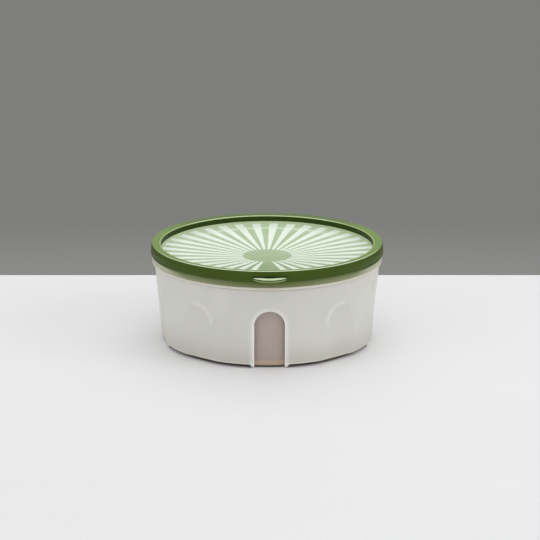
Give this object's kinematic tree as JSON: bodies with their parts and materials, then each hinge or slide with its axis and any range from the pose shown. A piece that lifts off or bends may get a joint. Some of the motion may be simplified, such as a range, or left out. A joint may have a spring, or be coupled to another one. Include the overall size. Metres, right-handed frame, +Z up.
{
  "type": "food storage container",
  "caption": "Round low food container: a press-on dished lid, a lift-out frosted tub, and a white casing with an arched window and blind arches.",
  "frame": {"origin": "middle of the footprint box at the table; the common centre line of the round pieces stands 2.8 mm towards +Y, because the thumb tab reaches out at the front", "axes": "+Z up, the way the lid and the tub lift; -Y the front, with the thumb tab and the arched window; +X to the right as seen from the front"},
  "size_m": [0.1838, 0.1894, 0.0797],
  "materials": {
    "casing_white": "fine satin moulding, opaque warm white",
    "tub_frosted": "frosted, see-through",
    "rim_green": "satin leaf green, slightly see-through where it is thin",
    "panel_green": "pale green, frosted",
    "ray_white": "satin white"
  },
  "bodies": {
    "casing": {"outer_casing": "casing_white"},
    "tub": {"inner_tub": "tub_frosted"},
    "lid": {"lid_rim": "rim_green", "lid_panel": "panel_green", "lid_rays": "ray_white"}
  },
  "joints": [
    {"name": "tub_lift", "type": "slide", "parent": "casing", "child": "tub", "axis": [0, 0, 1], "range_m": [0, 0.08]},
    {"name": "lid_lift", "type": "slide", "parent": "tub", "child": "lid", "axis": [0, 0, 1], "range_m": [0, 0.09]}
  ]
}
